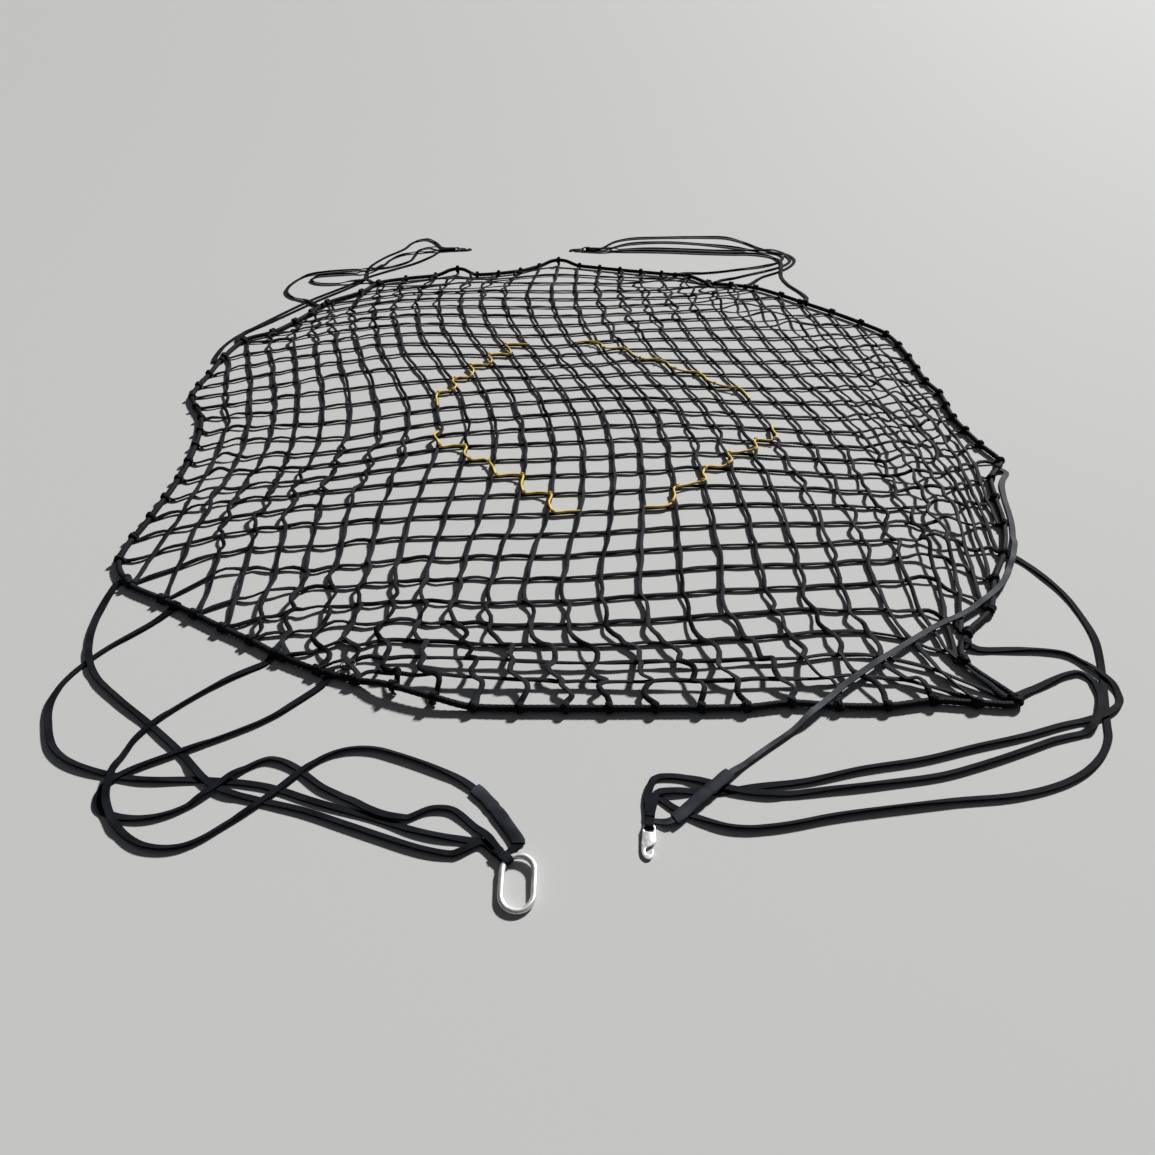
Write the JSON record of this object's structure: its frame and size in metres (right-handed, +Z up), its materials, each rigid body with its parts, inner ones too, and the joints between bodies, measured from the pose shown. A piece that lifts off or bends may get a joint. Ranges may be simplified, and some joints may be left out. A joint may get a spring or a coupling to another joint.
{
  "type": "cargo net",
  "caption": "Eight-sided square-mesh cargo net laid on the ground, with a rope border and four lifting legs of webbing straps that end in an oblong ring and plate hooks.",
  "frame": {"origin": "middle of the border rope's box, on the ground", "axes": "+Z up, +Y away from the viewer towards the far edge, +X to the viewer's right"},
  "size_m": [4.4323, 5.9826, 0.0577],
  "materials": {
    "net_cord": "matte braided cord",
    "rope": "matte rope",
    "webbing": "woven webbing",
    "grey_webbing": "woven webbing",
    "bright_steel": "galvanised",
    "dark_steel": "dark coated steel"
  },
  "bodies": {
    "root": {"net_mesh": "net_cord", "border_rope": "rope", "strap_front_left_1": "webbing", "strap_front_left_2": "webbing", "strap_front_left_3": "webbing", "strap_front_left_4": "webbing", "strap_front_right_1": "webbing", "strap_front_right_2": "webbing", "strap_front_right_3": "webbing", "strap_front_right_4": "webbing", "strap_back_left_1": "webbing", "strap_back_left_2": "webbing", "strap_back_left_3": "webbing", "strap_back_left_4": "webbing", "strap_back_right_1": "webbing", "strap_back_right_2": "webbing", "strap_back_right_3": "webbing", "strap_back_right_4": "webbing", "eye_front_left": "webbing", "eye_front_right": "webbing", "eye_back_left": "webbing", "eye_back_right": "webbing", "sleeve_front_left_3": "grey_webbing", "sleeve_front_right_1": "grey_webbing", "lifting_ring": "bright_steel", "hook_front_right": "bright_steel", "hook_back_left": "dark_steel", "hook_back_right": "dark_steel", "small_ring": "dark_steel"}
  },
  "joints": []
}
